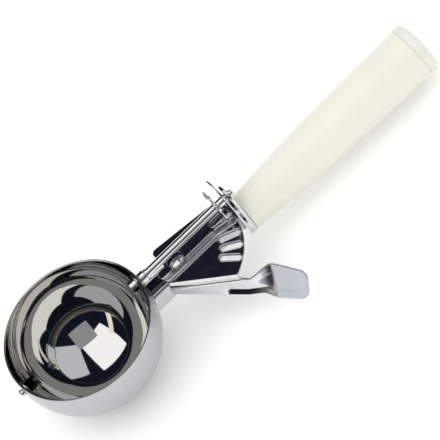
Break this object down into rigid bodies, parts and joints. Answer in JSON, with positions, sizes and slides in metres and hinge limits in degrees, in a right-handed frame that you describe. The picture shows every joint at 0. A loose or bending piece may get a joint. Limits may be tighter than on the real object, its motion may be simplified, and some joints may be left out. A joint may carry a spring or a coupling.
{
  "type": "lever ice cream scoop",
  "caption": "Hemispherical food scoop whose thumb lever turns a scraper blade inside the bowl through a slotted sector and a star pinion, on a moulded handle.",
  "frame": {"origin": "centre of the bowl's rim circle, in the rim plane", "axes": "+X along the scraper shaft from the bowl to the handle, +Z out of the bowl's mouth, the thumb lever stands out on the -Y side"},
  "size_m": [0.2248, 0.0862, 0.0424],
  "materials": {
    "bowl_steel": "drawn stainless sheet, mirror polished",
    "stamped_steel": "stamped stainless sheet, tumbled and polished",
    "turned_steel": "turned stainless rod, polished",
    "spring_wire": "drawn stainless spring wire",
    "handle_plastic": "ivory injection moulding, semi-gloss",
    "cap_plastic": "off-white injection moulding, semi-gloss"
  },
  "bodies": {
    "frame": {"bowl": "bowl_steel", "front_shaft_bush": "turned_steel", "frame_channel": "stamped_steel", "finger_guard": "stamped_steel", "handle_bolster": "stamped_steel", "handle_tang": "turned_steel", "lever_pivot_rivet": "turned_steel", "pivot_spacer": "turned_steel", "pivot_washer": "turned_steel", "return_spring": "spring_wire", "handle_grip": "handle_plastic", "handle_butt_cap": "cap_plastic"},
    "lever": {"thumb_lever": "stamped_steel"},
    "scraper": {"scraper_shaft": "turned_steel", "star_pinion": "stamped_steel", "scraper_blade": "stamped_steel", "blade_hub": "turned_steel", "blade_pivot_pin": "turned_steel", "blade_pivot_washer": "turned_steel", "shaft_thrust_washer": "turned_steel", "shaft_end_ring": "turned_steel"}
  },
  "joints": [
    {"name": "lever_hinge", "type": "hinge", "parent": "frame", "child": "lever", "pos_m": [0.0504, 0, -0.0053], "axis": [0, 0, 1], "range_deg": [0, 43], "stiffness_Nm_per_rad": 0.25, "springref_deg": -28.65, "deforming": ["return_spring"]},
    {"name": "scraper_hinge", "type": "hinge", "parent": "frame", "child": "scraper", "pos_m": [0, 0, -0.0053], "axis": [1, 0, 0], "range_deg": [0, 157.4]}
  ],
  "couplings": [
    {"joint": "scraper_hinge", "follows": "lever_hinge", "ratio": 3.6585}
  ]
}
